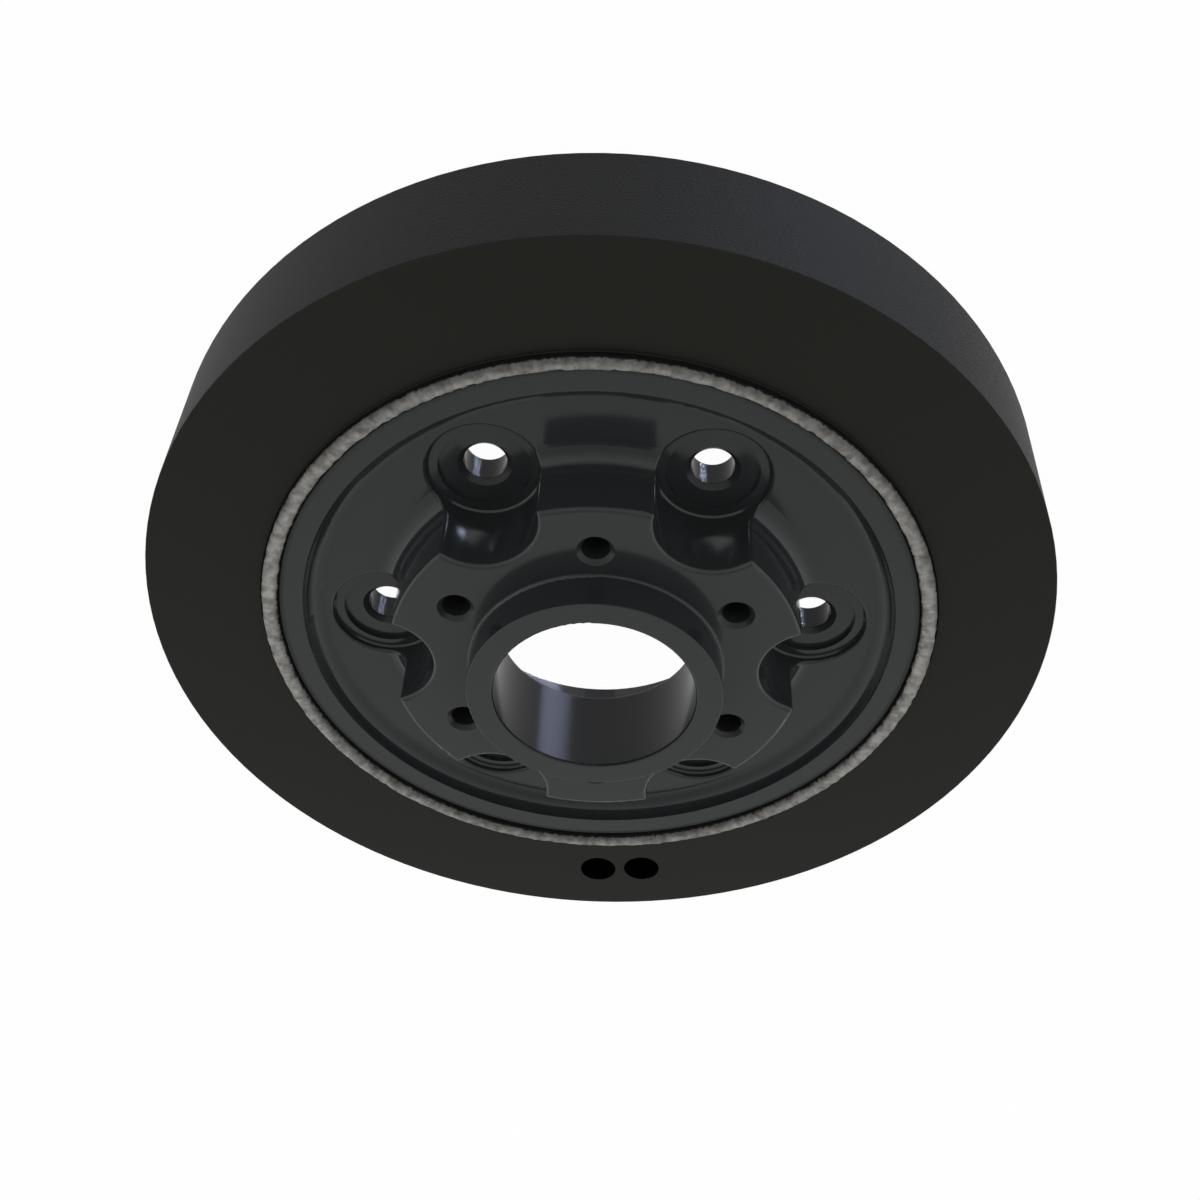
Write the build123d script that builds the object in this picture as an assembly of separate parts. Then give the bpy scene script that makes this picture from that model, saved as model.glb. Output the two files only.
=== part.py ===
"""Harmonic balancer of a heavy diesel engine: an inertia ring, a rubber ring and a bolted hub.

Sizes are in millimetres. Z runs along the crankshaft's axis, with Z = 0 at the rear face of the
inertia ring, and the front of the engine is towards +Z.
"""
from build123d import *
from math import hypot, isclose, radians, tan
import os

# Inertia ring
ring_dia = 318.0
ring_width = 49.2
ring_edge_chamfer = 0.3

# Balance holes, drilled side by side into the front of the inertia ring
balance_pitch_dia = 273.0
balance_hole_dia = 14.2
balance_hole_depth = 14.0
balance_hole_count = 2
balance_first_angle = 90.0
balance_step_angle = 7.45

# Rubber ring, bonded between the hub's rim and the inertia ring, with a bulged front edge
rubber_wall = 7.1
rubber_crest_height = 3.2
rubber_crest_radius = 1.1
rubber_crest_setback = 0.7
rubber_shoulder_height = 2.6
rubber_shoulder_radius = 2.5
rubber_shoulder_width = 2.8
rubber_rear_recess = 2.5

# Rim of the hub
rim_dia = 224.2
rim_proud = 0.8
rim_edge_radius = 1.0
rim_face_inner_dia = 208.6
rim_wall = 12.0
rim_rear_setback = 1.5
rim_rear_fillet = 6.0
rim_rear_radius = 1.0

# Web of the hub, between the rim and the boss; its rear face bolts to the crankshaft
web_depth = 6.0
web_thickness = 15.9
web_fillet = 6.7

# Boss in the middle of the hub
boss_dia = 144.2
boss_height = 25.4
boss_fillet = 7.6
boss_edge_radius = 1.6

# Bolt holes and their seats, which scallop the boss into six lobes
bolt_count = 6
bolt_pitch_dia = 151.5
bolt_hole_dia = 14.7
bolt_hole_chamfer = 1.8
seat_dia = 38.4
seat_depth = 2.4
seat_floor_chamfer = 0.6
seat_edge_radius = 1.1
spotface_dia = 31.4
spotface_depth = 1.8

# Blind holes for the screws of a belt pulley, one in the face of each lobe
pulley_pitch_dia = 108.6
pulley_hole_dia = 9.6
pulley_hole_chamfer = 1.5
pulley_hole_depth = 14.0

# Collar that centres the pulley, and the bore through it
collar_dia = 87.4
collar_height = 13.8
collar_fillet = 1.0
collar_edge_radius = 0.3
bore_dia = 69.4
bore_edge_radius = 0.9
bore_rear_radius = 0.6

# Register at the rear, which fits over the nose of the crankshaft
register_dia = 104.2
register_depth = 21.9
register_chamfer = 1.0
register_fillet = 1.5

drill_tip_angle = 118.0

# How far a cutting tool runs past the face that it opens
overrun = 1.0

# Radii and heights that follow from the sizes above
ring_bore_radius = rim_dia / 2 + rubber_wall
rim_radius = rim_dia / 2
rim_bore_radius = rim_radius - rim_wall
rim_face = ring_width + rim_proud
web_front = ring_width - web_depth
web_rear = web_front - web_thickness
boss_face = web_front + boss_height
collar_face = boss_face + collar_height
register_floor = web_rear + register_depth
seat_floor = web_front - seat_depth
spotface_floor = seat_floor - spotface_depth


def turned(*corners):
    """Turn a closed half-section about Z; each corner is a radius, a height and its fillet."""
    points = [(radius, 0, height) for radius, height, fillet_radius in corners]
    fillets = [fillet_radius for radius, height, fillet_radius in corners]
    outline = FilletPolyline(*points, radius=fillets, close=True)
    return revolve(make_face(outline), Axis.Z)


def blind_drill(hole_dia, mouth, depth, chamfer=0.0):
    """A drill with its cone, pointing down, that also chamfers the mouth of the hole."""
    hole_radius = hole_dia / 2
    tip = mouth - depth - hole_radius / tan(radians(drill_tip_angle / 2))
    return turned(
        (0, tip, 0),
        (hole_radius, mouth - depth, 0),
        (hole_radius, mouth - chamfer, 0),
        (hole_radius + chamfer + overrun, mouth + overrun, 0),
        (0, mouth + overrun, 0),
    )


def inertia_ring():
    """The heavy iron ring, with the two balance holes that lighten one side of it."""
    outer_radius = ring_dia / 2
    ring = turned(
        (ring_bore_radius, 0, 0),
        (outer_radius - ring_edge_chamfer, 0, 0),
        (outer_radius, ring_edge_chamfer, 0),
        (outer_radius, ring_width - ring_edge_chamfer, 0),
        (outer_radius - ring_edge_chamfer, ring_width, 0),
        (ring_bore_radius, ring_width, 0),
    )
    drill = Pos(balance_pitch_dia / 2, 0, 0) * blind_drill(
        balance_hole_dia, ring_width, balance_hole_depth
    )
    for index in range(balance_hole_count):
        ring -= Rot(0, 0, balance_first_angle + index * balance_step_angle) * drill
    return ring


def rubber_ring():
    """The bonded rubber, squeezed out into a crest beside the inertia ring."""
    crest = ring_width + rubber_crest_height
    shoulder = ring_width + rubber_shoulder_height
    return turned(
        (rim_radius, rubber_rear_recess, 0),
        (ring_bore_radius, rubber_rear_recess, 0),
        (ring_bore_radius, ring_width, 0),
        (ring_bore_radius - rubber_crest_setback, crest, rubber_crest_radius),
        (rim_radius + rubber_shoulder_width, shoulder, rubber_shoulder_radius),
        (rim_radius, ring_width - rim_edge_radius, 0),
    )


def hub_turning():
    """The hub as it leaves the lathe: rim, web, boss, collar, bore and register."""
    return turned(
        (bore_dia / 2, register_floor, bore_rear_radius),
        (bore_dia / 2, collar_face, bore_edge_radius),
        (collar_dia / 2, collar_face, collar_edge_radius),
        (collar_dia / 2, boss_face, collar_fillet),
        (boss_dia / 2, boss_face, 0),
        (boss_dia / 2, web_front, boss_fillet),
        (rim_face_inner_dia / 2, web_front, web_fillet),
        (rim_face_inner_dia / 2, rim_face, 0),
        (rim_radius, rim_face, rim_edge_radius),
        (rim_radius, rim_rear_setback, 0),
        (rim_bore_radius, rim_rear_setback, rim_rear_radius),
        (rim_bore_radius, web_rear, rim_rear_fillet),
        (register_dia / 2 + register_chamfer, web_rear, 0),
        (register_dia / 2, web_rear + register_chamfer, 0),
        (register_dia / 2, register_floor, register_fillet),
    )


def bolt_seat_cutter():
    """All that one bolt needs: scallop, seat, spotface, countersink and hole."""
    hole_radius = bolt_hole_dia / 2
    return turned(
        (0, web_rear - overrun, 0),
        (hole_radius, web_rear - overrun, 0),
        (hole_radius, spotface_floor - bolt_hole_chamfer, 0),
        (hole_radius + bolt_hole_chamfer, spotface_floor, 0),
        (spotface_dia / 2, spotface_floor, 0),
        (spotface_dia / 2, seat_floor, 0),
        (seat_dia / 2 - seat_floor_chamfer, seat_floor, 0),
        (seat_dia / 2, seat_floor + seat_floor_chamfer, 0),
        (seat_dia / 2, boss_face + overrun, 0),
        (0, boss_face + overrun, 0),
    )


def is_lobe_corner(edge):
    """Whether an upright edge is where the outside of the boss meets a scallop."""
    middle = edge.center()
    return isclose(hypot(middle.X, middle.Y), boss_dia / 2, abs_tol=1e-3)


def is_boss_top(face):
    """Whether a level face is the face of the boss."""
    return isclose(face.center().Z, boss_face, abs_tol=1e-3)


def hub():
    """The one-piece hub, with its bolt seats and holes cut and its lobes' edges rounded."""
    body = hub_turning()
    body -= PolarLocations(bolt_pitch_dia / 2, bolt_count) * bolt_seat_cutter()
    lobe_corners = body.edges().filter_by(Axis.Z).filter_by(is_lobe_corner)
    body = fillet(lobe_corners, seat_edge_radius)
    boss_top = body.faces().filter_by(Axis.Z).filter_by(is_boss_top).face()
    body = fillet(boss_top.outer_wire().edges(), boss_edge_radius)
    drill = blind_drill(pulley_hole_dia, boss_face, pulley_hole_depth, pulley_hole_chamfer)
    between_bolts = 180 / bolt_count
    body -= PolarLocations(pulley_pitch_dia / 2, bolt_count, between_bolts) * drill
    return body


parts = {
    "inertia_ring": inertia_ring(),
    "rubber_ring": rubber_ring(),
    "hub": hub(),
}
os.makedirs("parts", exist_ok=True)
for name, piece in parts.items():
    export_step(piece, f"parts/{name}.step")
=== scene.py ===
"""Looks of the harmonic balancer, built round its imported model.

Lengths are in metres in the model's own frame: +Z runs along the crankshaft's axis, and the part
lies on the floor on the rear face of its inertia ring.
"""
import bpy
import math
from mathutils import Euler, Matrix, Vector, noise


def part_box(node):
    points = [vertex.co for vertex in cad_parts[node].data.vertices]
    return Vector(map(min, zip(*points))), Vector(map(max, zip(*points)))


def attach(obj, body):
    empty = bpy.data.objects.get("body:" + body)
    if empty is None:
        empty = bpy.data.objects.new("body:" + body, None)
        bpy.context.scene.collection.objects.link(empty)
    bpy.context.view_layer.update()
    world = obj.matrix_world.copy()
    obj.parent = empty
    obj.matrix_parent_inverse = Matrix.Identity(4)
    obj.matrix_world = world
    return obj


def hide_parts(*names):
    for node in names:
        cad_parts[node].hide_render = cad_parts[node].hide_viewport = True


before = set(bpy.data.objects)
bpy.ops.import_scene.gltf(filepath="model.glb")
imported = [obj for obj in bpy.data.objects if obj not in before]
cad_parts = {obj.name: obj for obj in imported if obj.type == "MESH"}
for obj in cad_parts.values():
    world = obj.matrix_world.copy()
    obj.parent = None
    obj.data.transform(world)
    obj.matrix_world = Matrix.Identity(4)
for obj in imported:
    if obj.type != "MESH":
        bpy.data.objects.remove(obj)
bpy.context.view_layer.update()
mm = 0.001

# Sizes read from the frame
ring_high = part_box("inertia_ring")[1]
rubber_low, rubber_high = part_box("rubber_ring")
hub_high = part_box("hub")[1]
ring_face = ring_high.z
ring_radius = ring_high.x
rubber_radius = rubber_high.x
rim_radius = hub_high.x

# Sizes of the holes whose walls and mouths have a finish of their own
bore_radius = 34.7 * mm
bolt_pitch_radius = 75.75 * mm
bolt_hole_radius = 7.35 * mm
bolt_mouth_radius = 9.1 * mm
first_bolt_angle = 0
screw_pitch_radius = 54.3 * mm
screw_mouth_radius = 6.25 * mm
first_screw_angle = math.radians(30)
hole_spacing = math.radians(60)
balance_pitch_radius = 136.5 * mm
balance_hole_radius = 7.1 * mm
balance_hole_angles = (math.radians(90), math.radians(97.45))

# How far each wall's finish reaches past the wall, and the paint of the ring's outer wall inwards
bore_wall_reach = 0.12 * mm
lip_shade_reach = 0.3 * mm
bolt_wall_reach = 0.2 * mm
balance_wall_reach = 0.05 * mm
outer_wall_reach = 0.4 * mm

# The marks in each finish, by how far apart they are
orange_peel = 3.0 * mm
enamel_thin_spots = 8.0 * mm
boring_marks = 0.6 * mm
paint_grain = 0.7 * mm
paint_cloud = 25.0 * mm
bloom_lumps = 3.5 * mm
crease_shade_spacing = 1.8 * mm
overspray_fray = 1.5 * mm
rubber_skin = 0.7 * mm

# Off-centre ring for the bead's painted light and shade and its overspray, shifted towards the far
# side
light_and_overspray_radius = 115.7 * mm
light_and_overspray_centre = (0.5 * mm, 2.5 * mm, 0)
overspray_and_shade_reach = 4.2 * mm
painted_shade_start = 0.6 * mm
painted_shade_end = 4.6 * mm

# Black up the bead's flanks, partly overspray and partly painted shade: how deeply it frays, and where
# it thins out and ends
fray_height = 3.0 * mm
overspray_and_shade_thins = ring_face - 0.1 * mm
overspray_and_shade_ends = ring_face + 0.8 * mm

# Other finishes that run over the edges of the rubber
enamel_bridge_radius = 112.65 * mm
painted_lip_radius = 118.93 * mm

# Where the bead is painted lighter, as distances to either side of the middle: painted light on its
# two sides across X
side_light_start = 0.7 * rubber_radius
side_light_end = 0.98 * rubber_radius


def linear(hex_colour):
    """An sRGB hex colour, such as "1b1b1c", as the linear colour that shaders take."""
    channels = [int(hex_colour[start:start + 2], 16) / 255 for start in (0, 2, 4)]
    return [c / 12.92 if c <= 0.04045 else ((c + 0.055) / 1.055) ** 2.4 for c in channels] + [1.0]


def add(tree, kind, settings=None, **inputs):
    """Add a node; settings are its own properties, and inputs are values or sockets.

    An input goes by its name, with _ for each space, or by its number, as in i0.
    """
    node = tree.nodes.new(kind)
    for name, value in (settings or {}).items():
        setattr(node, name, value)
    for name, value in inputs.items():
        key = int(name[1:]) if name[0] == "i" and name[1:].isdigit() else name.replace("_", " ")
        socket = node.inputs[key]
        if isinstance(value, bpy.types.NodeSocket):
            tree.links.new(value, socket)
        else:
            socket.default_value = value
    return node


def new_material(name):
    """An empty node material, and its tree."""
    material = bpy.data.materials.new(name)
    material.use_nodes = True
    material.node_tree.nodes.clear()
    return material, material.node_tree


def within(tree, coordinates, centre, radius):
    """1 inside an upright cylinder round a centre, and 0 outside it."""
    flat = add(tree, "ShaderNodeVectorMath", {"operation": "MULTIPLY"},
               i0=coordinates, i1=(1, 1, 0)).outputs[0]
    reach = add(tree, "ShaderNodeVectorMath", {"operation": "DISTANCE"},
                i0=flat, i1=centre).outputs["Value"]
    return add(tree, "ShaderNodeMath", {"operation": "LESS_THAN"}, i0=reach, i1=radius).outputs[0]


def on_circle(radius, angle):
    """The place at an angle on a circle round the axis."""
    return (radius * math.cos(angle), radius * math.sin(angle), 0)


def round_holes(tree, coordinates, angle, pitch_radius, first_angle, radius):
    """1 inside upright cylinders round one of the hub's two rings of six holes, and 0 elsewhere."""
    # Every hole is turned about the axis on to the first one
    folded = add(tree, "ShaderNodeMath", {"operation": "WRAP"}, i0=angle,
                 i1=first_angle + hole_spacing / 2, i2=first_angle - hole_spacing / 2)
    back = add(tree, "ShaderNodeMath", {"operation": "SUBTRACT"}, i0=folded.outputs[0], i1=angle)
    turned = add(tree, "ShaderNodeVectorRotate", {"rotation_type": "Z_AXIS"},
                 Vector=coordinates, Angle=back.outputs[0]).outputs[0]
    return within(tree, turned, on_circle(pitch_radius, first_angle), radius)


def enamelled_hub():
    """Gloss black enamel sprayed over a turned iron casting, thin on the walls of its holes."""
    material, tree = new_material("gloss_black_enamel")
    coordinates = add(tree, "ShaderNodeTexCoord").outputs["Object"]
    point = add(tree, "ShaderNodeSeparateXYZ", Vector=coordinates).outputs
    # Orange peel: the soft waves of sprayed enamel, about 3 mm apart, make reflections waver
    peel = add(tree, "ShaderNodeTexNoise", Vector=coordinates, Scale=1 / orange_peel,
               Detail=1.0, Roughness=0.55)
    relief = add(tree, "ShaderNodeBump", Strength=0.03, Distance=0.2 * mm,
                 Height=peel.outputs["Fac"])
    # Dust and thin spots in the enamel, about 8 mm across, make the gloss slightly uneven
    cloud = add(tree, "ShaderNodeTexNoise", Vector=coordinates, Scale=1 / enamel_thin_spots,
                Detail=3.0, Roughness=0.55)
    gloss = add(tree, "ShaderNodeMapRange", Value=cloud.outputs["Fac"], To_Min=0.10, To_Max=0.17)
    enamel = add(
        tree, "ShaderNodeBsdfPrincipled",
        Base_Color=linear("282a2c"), Roughness=gloss.outputs["Result"], IOR=1.43,
        Normal=relief.outputs["Normal"],
    )
    # Boring marks run round the bore under thin enamel, so they stretch reflections along its axis
    along_axis = add(tree, "ShaderNodeCombineXYZ", Z=1.0).outputs[0]
    tooth = add(tree, "ShaderNodeTexNoise", Vector=coordinates, Scale=1 / boring_marks,
                Detail=2.0, Roughness=0.55)
    marks = add(tree, "ShaderNodeBump", Strength=0.22, Distance=0.05 * mm,
                Height=tooth.outputs["Fac"])
    bored = add(
        tree, "ShaderNodeBsdfPrincipled",
        Base_Color=linear("1d1e20"), Roughness=0.23, IOR=1.3,
        Anisotropic=0.6, Tangent=along_axis, Normal=marks.outputs["Normal"],
    )
    # The drilled bolt holes are smoother, and darker inside, so they show one narrow streak
    drilled = add(
        tree, "ShaderNodeBsdfPrincipled",
        Base_Color=linear("0e0f12"), Roughness=0.14, IOR=1.28,
        Anisotropic=0.7, Tangent=along_axis,
    )
    # The cutter left the countersinks rougher than the faces, so the enamel on them is duller
    dull = add(tree, "ShaderNodeBsdfPrincipled", Base_Color=linear("27282a"), Roughness=0.3, IOR=1.33)
    # A dark line is painted along the lip of the bore: painted shade where the mouth's rounding looks
    # dark
    lip_shade = add(tree, "ShaderNodeBsdfPrincipled", Base_Color=linear("08080a"), Roughness=0.5, IOR=1.1)
    # Each finish covers its own place on the enamel
    lip = within(tree, coordinates, (0, 0, 0), bore_radius + lip_shade_reach)
    bore = within(tree, coordinates, (0, 0, 0), bore_radius + bore_wall_reach)
    angle = add(tree, "ShaderNodeMath", {"operation": "ARCTAN2"}, i0=point["Y"], i1=point["X"])
    angle = angle.outputs[0]
    bolt_mouth = round_holes(tree, coordinates, angle, bolt_pitch_radius, first_bolt_angle,
                             bolt_mouth_radius)
    screw_mouth = round_holes(tree, coordinates, angle, screw_pitch_radius, first_screw_angle,
                              screw_mouth_radius)
    mouth = add(tree, "ShaderNodeMath", {"operation": "MAXIMUM"}, i0=bolt_mouth, i1=screw_mouth)
    bolt_hole = round_holes(tree, coordinates, angle, bolt_pitch_radius, first_bolt_angle,
                            bolt_hole_radius + bolt_wall_reach)
    surface = enamel.outputs["BSDF"]
    for finish, cover in ((lip_shade, lip), (bored, bore), (dull, mouth.outputs[0]), (drilled, bolt_hole)):
        surface = add(tree, "ShaderNodeMixShader", i0=cover,
                      i1=surface, i2=finish.outputs["BSDF"]).outputs[0]
    add(tree, "ShaderNodeOutputMaterial", Surface=surface)
    return material


def painted_ring():
    """Satin black paint on turned cast iron, with the balance holes' walls painted near black as
    painted shade.
    """
    material, tree = new_material("satin_black_paint")
    coordinates = add(tree, "ShaderNodeTexCoord").outputs["Object"]
    # Grain of the satin paint, drawn at 0.7 mm so that it shows, breaks reflections into a sparkle
    tooth = add(tree, "ShaderNodeTexNoise", Vector=coordinates, Scale=1 / paint_grain,
                Detail=2.0, Roughness=0.55)
    relief = add(tree, "ShaderNodeBump", Strength=0.3, Distance=0.05 * mm,
                 Height=tooth.outputs["Fac"])
    # The paint dried a little unevenly, so its gloss drifts over about 25 mm
    cloud = add(tree, "ShaderNodeTexNoise", Vector=coordinates, Scale=1 / paint_cloud,
                Detail=3.0, Roughness=0.55)
    gloss = add(tree, "ShaderNodeMapRange", Value=cloud.outputs["Fac"], To_Min=0.38, To_Max=0.46)
    # The balance holes' walls are painted near black: painted shade deep in the holes
    holes = [
        within(tree, coordinates, on_circle(balance_pitch_radius, angle),
               balance_hole_radius + balance_wall_reach)
        for angle in balance_hole_angles
    ]
    drilled = add(tree, "ShaderNodeMath", {"operation": "MAXIMUM"}, i0=holes[0], i1=holes[1])
    shade = add(tree, "ShaderNodeMix", {"data_type": "RGBA"}, i0=drilled.outputs[0],
                i6=linear("1a1a16"), i7=linear("020202"))
    paint = add(
        tree, "ShaderNodeBsdfPrincipled",
        Base_Color=shade.outputs["Result"], Roughness=gloss.outputs["Result"], IOR=1.25,
        Normal=relief.outputs["Normal"],
    )
    # The outer wall was sprayed from further off, so its paint is duller and grainier
    speckle = add(tree, "ShaderNodeBump", Strength=1.0, Distance=0.3 * mm,
                  Height=tooth.outputs["Fac"])
    dull = add(
        tree, "ShaderNodeBsdfPrincipled",
        Base_Color=linear("292929"), Roughness=0.45, IOR=1.085, Normal=speckle.outputs["Normal"],
    )
    face = within(tree, coordinates, (0, 0, 0), ring_radius - outer_wall_reach)
    mixed = add(tree, "ShaderNodeMixShader", i0=face,
                i1=dull.outputs["BSDF"], i2=paint.outputs["BSDF"])
    add(tree, "ShaderNodeOutputMaterial", Surface=mixed.outputs[0])
    return material


def moulded_rubber():
    """Grey moulded rubber wiped clean on top, with black flanks, partly overspray and partly painted
    shade.
    """
    material, tree = new_material("grey_moulded_rubber")
    coordinates = add(tree, "ShaderNodeTexCoord").outputs["Object"]
    point = add(tree, "ShaderNodeSeparateXYZ", Vector=coordinates).outputs
    # Lumps of the torn bead, about 3.5 mm across, carry more or less of the chalky bloom
    mottle = add(tree, "ShaderNodeTexNoise", Vector=coordinates, Scale=1 / bloom_lumps,
                 Detail=2.0, Roughness=0.55)
    patch = add(tree, "ShaderNodeMapRange", Value=mottle.outputs["Fac"], From_Min=0.3, From_Max=0.7)
    shade = add(tree, "ShaderNodeMix", {"data_type": "RGBA"}, i0=patch.outputs["Result"],
                i6=linear("757371"), i7=linear("aeaca9")).outputs["Result"]
    # Two opposite sides are painted lighter than the sides between them: painted light and shade for
    # how the light falls round the bead
    sideways = add(tree, "ShaderNodeMath", {"operation": "ABSOLUTE"}, i0=point["X"])
    side_light = add(tree, "ShaderNodeMapRange", {"interpolation_type": "SMOOTHSTEP"},
                 Value=sideways.outputs[0], From_Min=side_light_start, From_Max=side_light_end,
                 To_Min=0.68, To_Max=0.77)
    shade = add(tree, "ShaderNodeVectorMath", {"operation": "SCALE"},
                i0=shade, Scale=side_light.outputs["Result"]).outputs[0]
    # Lighter and darker streaks run straight across the bead, about 1.8 mm apart: painted light and
    # shade of creases where it tore as it was trimmed
    flat = add(tree, "ShaderNodeVectorMath", {"operation": "MULTIPLY"},
               i0=coordinates, i1=(1, 1, 0)).outputs[0]
    outward = add(tree, "ShaderNodeVectorMath", {"operation": "NORMALIZE"}, i0=flat).outputs[0]
    tear = add(tree, "ShaderNodeTexNoise", Vector=outward, Scale=rubber_radius / crease_shade_spacing,
               Detail=2.0, Roughness=0.55)
    crease_shade = add(tree, "ShaderNodeMapRange", Value=tear.outputs["Fac"], From_Min=0.3, From_Max=0.7,
                 To_Min=0.84, To_Max=1.12)
    shade = add(tree, "ShaderNodeVectorMath", {"operation": "SCALE"},
                i0=shade, Scale=crease_shade.outputs["Result"]).outputs[0]
    # Painted light and shade: the bead is lighter near the ring's middle line and darker away from it,
    # so that the flanks facing the far side look lit; the black of the flanks hides it further out
    # than the ring's reach
    reach = add(tree, "ShaderNodeVectorMath", {"operation": "DISTANCE"},
                i0=flat, i1=light_and_overspray_centre).outputs["Value"]
    off_middle = add(tree, "ShaderNodeMath", {"operation": "SUBTRACT"}, i0=reach, i1=light_and_overspray_radius)
    off_middle = add(tree, "ShaderNodeMath", {"operation": "ABSOLUTE"}, i0=off_middle.outputs[0])
    painted_light_and_shade = add(tree, "ShaderNodeMapRange", {"interpolation_type": "SMOOTHSTEP"},
               Value=off_middle.outputs[0], From_Min=painted_shade_start, From_Max=painted_shade_end,
               To_Min=1.2, To_Max=0.5)
    shade = add(tree, "ShaderNodeVectorMath", {"operation": "SCALE"},
                i0=shade, Scale=painted_light_and_shade.outputs["Result"]).outputs[0]
    beyond = add(tree, "ShaderNodeMath", {"operation": "SUBTRACT"},
                 i0=off_middle.outputs[0], i1=overspray_and_shade_reach)
    beyond = add(tree, "ShaderNodeMath", {"operation": "MAXIMUM"}, i0=beyond.outputs[0], i1=0.0)
    # Black reaches up the flanks to a ragged edge, about 1 mm below the crest: partly overspray,
    # partly painted shade
    fray = add(tree, "ShaderNodeTexNoise", Vector=coordinates, Scale=1 / overspray_fray,
               Detail=3.0, Roughness=0.55)
    lowered = add(tree, "ShaderNodeMath", {"operation": "MULTIPLY_ADD"},
                  i0=fray.outputs["Fac"], i1=-fray_height, i2=point["Z"])
    lowered = add(tree, "ShaderNodeMath", {"operation": "SUBTRACT"},
                  i0=lowered.outputs[0], i1=beyond.outputs[0])
    clean = add(tree, "ShaderNodeMapRange", Value=lowered.outputs[0],
                From_Min=overspray_and_shade_thins, From_Max=overspray_and_shade_ends)
    # The near-black is partly overspray and partly painted shade on the flanks
    colour = add(tree, "ShaderNodeMix", {"data_type": "RGBA"}, i0=clean.outputs["Result"],
                 i6=linear("0b0b0b"), i7=shade)
    # The hub's enamel bridges the joint, up to where the bead rises
    bridge = within(tree, coordinates, (0, 0, 0), enamel_bridge_radius)
    colour = add(tree, "ShaderNodeMix", {"data_type": "RGBA"}, i0=bridge,
                 i6=colour.outputs["Result"], i7=linear("393b3b"))
    # The inertia ring's paint runs over the thin lip that the rubber leaves against it
    inside = within(tree, coordinates, (0, 0, 0), painted_lip_radius)
    colour = add(tree, "ShaderNodeMix", {"data_type": "RGBA"}, i0=inside,
                 i6=linear("1e1e1a"), i7=colour.outputs["Result"])
    # Skin of the rubber, drawn at 0.7 mm so that it shows, keeps it matt
    tooth = add(tree, "ShaderNodeTexNoise", Vector=coordinates, Scale=1 / rubber_skin,
                Detail=3.0, Roughness=0.55)
    relief = add(tree, "ShaderNodeBump", Strength=0.25, Distance=0.15 * mm,
                 Height=tooth.outputs["Fac"])
    rubber = add(
        tree, "ShaderNodeBsdfPrincipled",
        Base_Color=colour.outputs["Result"], Roughness=0.7, IOR=1.25,
        Normal=relief.outputs["Normal"],
    )
    add(tree, "ShaderNodeOutputMaterial", Surface=rubber.outputs["BSDF"])
    return material


def dress(node, material):
    """Give a CAD node its finish."""
    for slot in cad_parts[node].material_slots:
        slot.material = material


dress("hub", enamelled_hub())
dress("inertia_ring", painted_ring())

# Rubber bead: the squeezed-out edge of the rubber, as radius and height from the ring's face, in mm
bead_section = (
    (112.1, -0.2), (111.0, 0.8), (111.05, 0.82), (112.25, 0.8), (112.5, 0.6), (112.6, 0.1),
    (112.75, -0.2), (112.9, 0.4), (113.05, 1.2), (113.4, 2.05), (114.0, 2.55), (114.9, 2.75),
    (115.7, 2.85), (116.5, 2.9), (117.3, 2.9), (117.9, 2.7), (118.3, 2.2), (118.45, 1.4),
    (118.55, 0.6), (118.75, 0.15), (118.9, 0.4), (119.0, 0.7), (119.1, 0.75), (119.2, 0.6),
)
bead_stations = 1500

# Size and depth of the bead's lumps and of the finer tears on them, in mm
bead_lump = 3.0
bead_lump_depth = 0.26
bead_tear = 0.9
bead_tear_depth = 0.12
bead_tear_shift = Vector((7, 3, 5))

# The lumps push its flanks outwards from this middle radius, over this half width, in mm
bead_middle = 116.0
bead_half_width = 3.0


def bead_point(station, radius, height, loose):
    """One point of the bead, pushed out or in by lumps where it is loose from both walls."""
    angle = 2 * math.pi * station / bead_stations
    outward = Vector((math.cos(angle), math.sin(angle), 0))
    spot = outward * radius + Vector((0, 0, height))
    lump = noise.noise(spot / bead_lump) * bead_lump_depth
    tear = noise.noise(spot / bead_tear + bead_tear_shift) * bead_tear_depth
    push = (lump + tear) * loose
    lean = (radius - bead_middle) / bead_half_width
    spot += (outward * lean + Vector((0, 0, 1))) * push
    return spot * mm + Vector((0, 0, ring_face))


def rubber_bead():
    """The rubber ring between the rim and the inertia ring, with its lumpy squeezed-out bead."""
    foot = (rubber_low.z - ring_face) / mm
    section = [(rubber_radius / mm, foot), (rim_radius / mm, foot), *bead_section]
    row = len(section)
    points = []
    for station in range(bead_stations):
        for radius, height in section:
            bare = enamel_bridge_radius < radius * mm < painted_lip_radius
            loose = min(max(height, 0.0), 1.0) * bare
            points.append(bead_point(station, radius, height, loose))
    faces = []
    for station in range(bead_stations):
        here = station * row
        there = (station + 1) % bead_stations * row
        for step in range(row):
            after = (step + 1) % row
            faces.append((here + step, there + step, there + after, here + after))
    mesh = bpy.data.meshes.new("rubber_bead")
    mesh.from_pydata(points, [], faces)
    mesh.polygons.foreach_set("use_smooth", [True] * len(faces))
    mesh.materials.append(moulded_rubber())
    bead = bpy.data.objects.new("rubber_bead", mesh)
    bpy.context.scene.collection.objects.link(bead)
    return bead


bead = rubber_bead()
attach(bead, "root")
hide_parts("rubber_ring")

# Floor and studio: the floor shines white by itself in this share, and shows shadow in the rest
white = 1.0
floor_width = 30.0
floor_shine_share = 0.98


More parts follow.
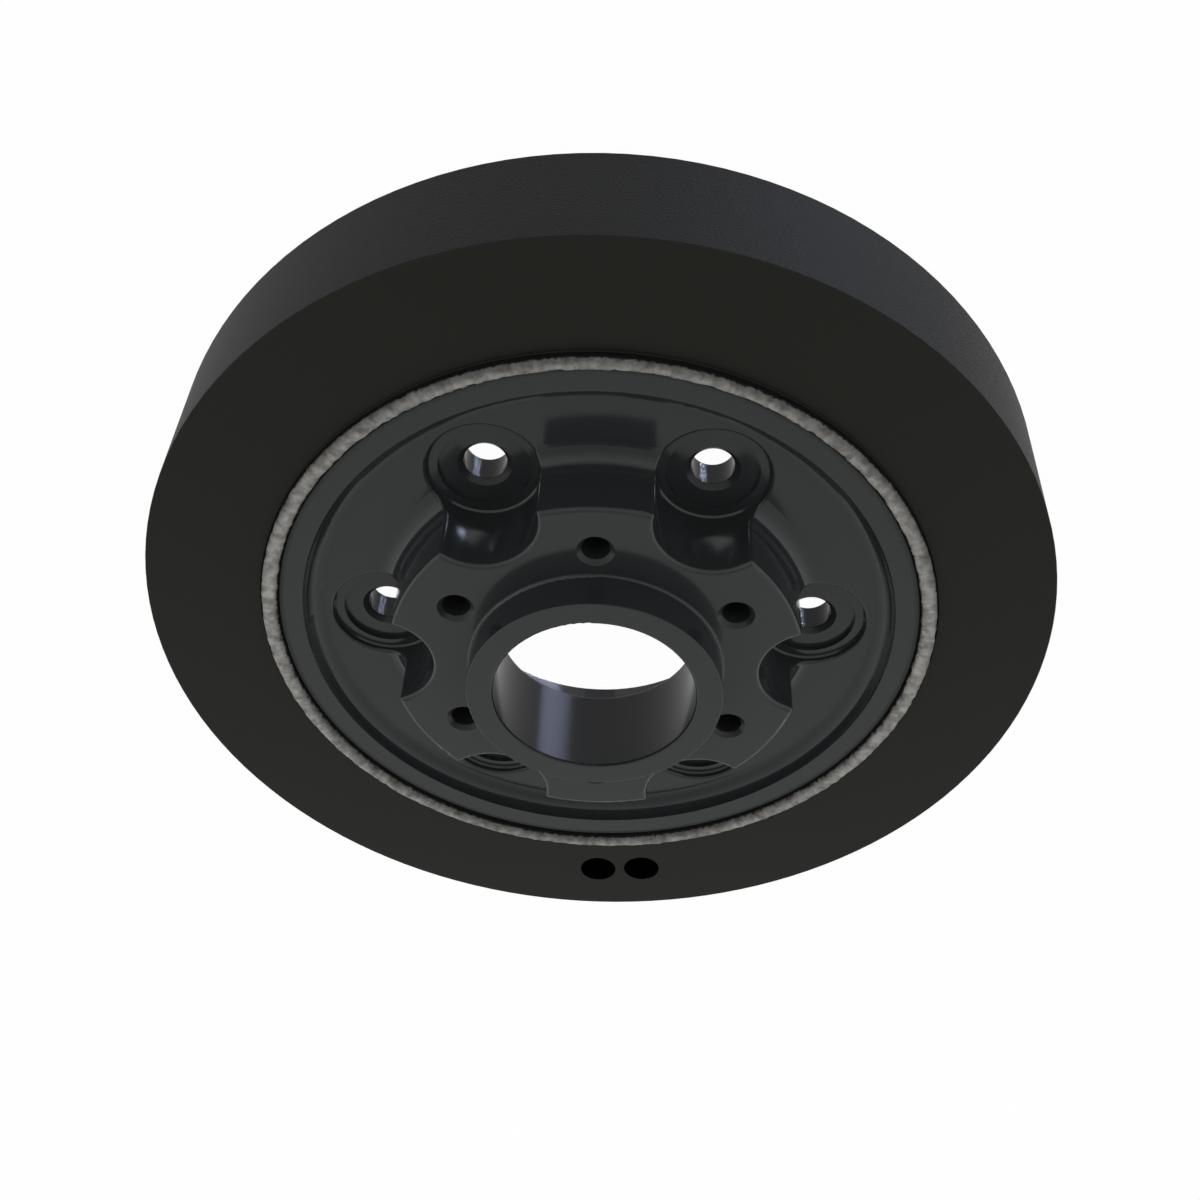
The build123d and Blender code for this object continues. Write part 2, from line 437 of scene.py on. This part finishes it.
def pale_floor():
    """A matt white floor that the camera and reflections see as a white backdrop."""
    material, tree = new_material("matt_white_backdrop")
    paths = add(tree, "ShaderNodeLightPath").outputs
    seen = add(tree, "ShaderNodeMath", {"operation": "MAXIMUM"},
               i0=paths["Is Camera Ray"], i1=paths["Is Glossy Ray"])
    seen = add(tree, "ShaderNodeMath", {"operation": "MAXIMUM"},
               i0=seen.outputs[0], i1=paths["Is Transmission Ray"])
    share = add(tree, "ShaderNodeMath", {"operation": "MULTIPLY"},
                i0=seen.outputs[0], i1=floor_shine_share)
    matt = add(tree, "ShaderNodeBsdfDiffuse", Color=linear("e6e6e6"))
    glow = add(tree, "ShaderNodeEmission", Strength=white)
    mixed = add(tree, "ShaderNodeMixShader", i0=share.outputs[0],
                i1=matt.outputs[0], i2=glow.outputs[0])
    add(tree, "ShaderNodeOutputMaterial", Surface=mixed.outputs[0])
    return material


bpy.ops.mesh.primitive_plane_add(size=floor_width)
floor = bpy.context.object
floor.name = "floor"
floor.data.materials.append(pale_floor())

# Brightness of the studio's walls and ceiling, from the camera's side over the top to the far side
studio_brightness = (
    (0, 0.30), (12, 0.42), (24, 0.85), (34, 0.95), (46, 0.80), (60, 0.60), (80, 0.42),
    (98, 0.44), (115, 0.58), (127, 0.66), (140, 0.73), (153, 0.74), (166, 0.70), (180, 0.65),
)
studio_side_brightness = 1.25
studio_tint = (1.0, 1.02, 0.97)


def studio_world():
    """A plain pale studio room, which the camera sees as white."""
    world = bpy.data.worlds.new("studio")
    world.use_nodes = True
    tree = world.node_tree
    tree.nodes.clear()
    toward = add(tree, "ShaderNodeSeparateXYZ",
                 Vector=add(tree, "ShaderNodeTexCoord").outputs["Generated"]).outputs
    nearer = add(tree, "ShaderNodeMath", {"operation": "MULTIPLY"}, i0=toward["Y"], i1=-1.0)
    turn = add(tree, "ShaderNodeMath", {"operation": "ARCTAN2"}, i0=toward["Z"], i1=nearer.outputs[0])
    share = add(tree, "ShaderNodeMath", {"operation": "DIVIDE"}, i0=turn.outputs[0], i1=math.pi)
    ramp = add(tree, "ShaderNodeValToRGB", Fac=share.outputs[0])
    marks = ramp.color_ramp.elements
    for angle, brightness in studio_brightness[1:-1]:
        marks.new(angle / 180)
    for mark, (angle, brightness) in zip(marks, studio_brightness):
        mark.position = angle / 180
        mark.color = [brightness * tint for tint in studio_tint] + [1]
    sideways = add(tree, "ShaderNodeMath", {"operation": "POWER"}, i0=toward["X"], i1=2.0)
    side = [studio_side_brightness] * 3 + [1]
    walls = add(tree, "ShaderNodeMix", {"data_type": "RGBA"}, i0=sideways.outputs[0],
                i6=ramp.outputs["Color"], i7=side)
    paths = add(tree, "ShaderNodeLightPath").outputs
    room = add(tree, "ShaderNodeBackground", Color=walls.outputs["Result"], Strength=1.0)
    backdrop = add(tree, "ShaderNodeBackground", Color=linear("ffffff"), Strength=white)
    mixed = add(tree, "ShaderNodeMixShader", i0=paths["Is Camera Ray"],
                i1=room.outputs[0], i2=backdrop.outputs[0])
    add(tree, "ShaderNodeOutputWorld", Surface=mixed.outputs[0])
    bpy.context.scene.world = world


studio_world()


def light_table_glow(azimuth, elevation, spread, radiance, hex_colour):
    """Bluish light that comes up through the floor, as on a light table, and meets upright walls."""
    around, up = math.radians(azimuth), math.radians(elevation)
    toward = Vector((math.sin(around) * math.cos(up), -math.cos(around) * math.cos(up), math.sin(up)))
    lamp = bpy.data.lights.new("light_table_glow", "SUN")
    lamp.angle = math.radians(spread)
    lamp.energy = radiance * math.pi * math.sin(lamp.angle / 2) ** 2
    lamp.color = linear(hex_colour)[:3]
    lamp.cycles.use_multiple_importance_sampling = False
    holder = bpy.data.objects.new("light_table_glow", lamp)
    holder.rotation_euler = toward.to_track_quat("Z", "Y").to_euler()
    bpy.context.scene.collection.objects.link(holder)
    # Only the part itself stops this light, and the floor lets it through
    blockers = bpy.data.collections.new("glow_blockers")
    for piece in [*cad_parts.values(), bead]:
        blockers.objects.link(piece)
    holder.light_linking.blocker_collection = blockers


light_table_glow(azimuth=-49, elevation=-48, spread=26, radiance=6.0, hex_colour="ced9ff")

# Camera: the photograph's 50 mm view from above, rolled over so that the near side is on top
camera_data = bpy.data.cameras.new("camera")
camera_data.lens = 50.0
camera_data.sensor_width = 36.0
camera = bpy.data.objects.new("camera", camera_data)
camera.location = Vector((-16.62, -411.31, 472.62)) * mm
camera.rotation_euler = Euler([math.radians(angle) for angle in (-43.115, 2.146, 180.0)])
bpy.context.scene.collection.objects.link(camera)
bpy.context.scene.camera = camera

bpy.context.scene.view_settings.view_transform = "Standard"
